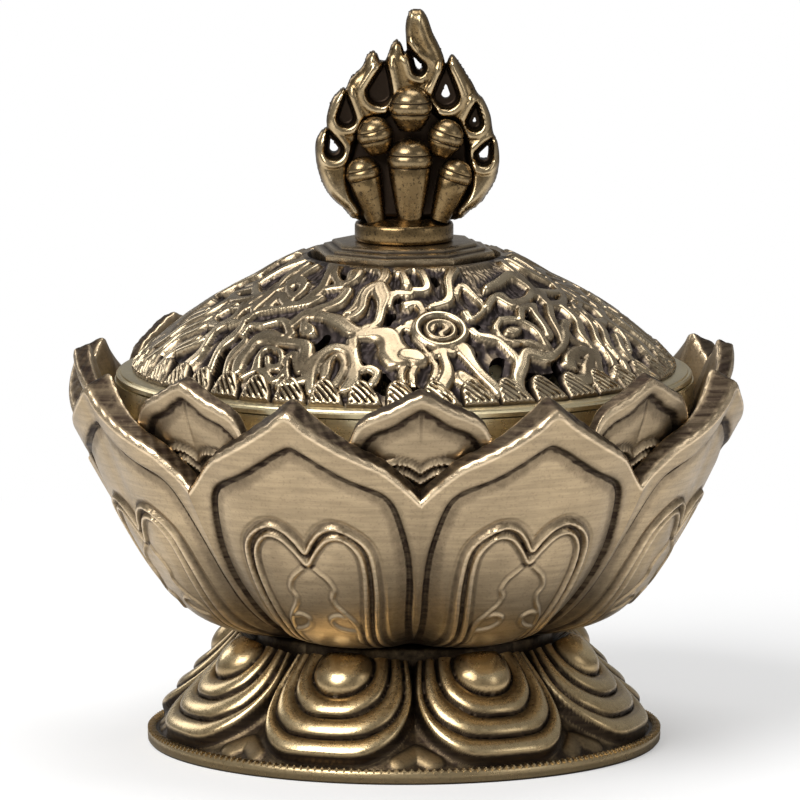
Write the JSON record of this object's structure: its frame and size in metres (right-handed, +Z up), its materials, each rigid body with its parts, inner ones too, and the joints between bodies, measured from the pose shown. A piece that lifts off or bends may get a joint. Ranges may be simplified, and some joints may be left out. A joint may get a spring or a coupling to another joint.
{
  "type": "incense burner",
  "caption": "Lotus-shaped brass incense burner: petalled foot, two layers of petals round a bowl, pierced dome lid that lifts off, and a flaming-jewel finial.",
  "frame": {"origin": "middle of the foot's underside, on the surface that the burner stands on", "axes": "+Z up the burner's axis, -Y towards the front"},
  "size_m": [0.095, 0.095, 0.1033],
  "materials": {
    "foot_brass": "antique brass, dark patina in the recesses",
    "petal_brass": "antique brass, brushed fields with dark recesses",
    "bowl_brass": "satin yellow brass",
    "lid_brass": "antique brass, dark patina with worn highlights",
    "finial_brass": "antique brass, speckled patina",
    "holder_brass": "satin brass",
    "fastener_steel": "zinc-plated",
    "mat_fibre": "felted mineral fibre"
  },
  "bodies": {
    "burner": {"foot": "foot_brass", "outer_petals": "petal_brass", "inner_petals": "petal_brass", "bowl_liner": "bowl_brass", "clamp_bolt": "fastener_steel", "head_washer": "fastener_steel", "nut_washer": "fastener_steel", "clamp_nut": "fastener_steel", "ash_mat": "mat_fibre"},
    "lid": {"lid_dome": "lid_brass", "finial": "finial_brass", "finial_screw": "fastener_steel", "finial_washer": "fastener_steel"},
    "incense_holder": {"holder_dish": "holder_brass", "holder_pin": "holder_brass"}
  },
  "joints": [
    {"name": "lid_lift", "type": "slide", "parent": "burner", "child": "lid", "axis": [0, 0, 1], "range_m": [0, 0.08]},
    {"name": "holder_lift", "type": "slide", "parent": "burner", "child": "incense_holder", "axis": [0, 0, 1], "range_m": [0, 0.022]}
  ]
}
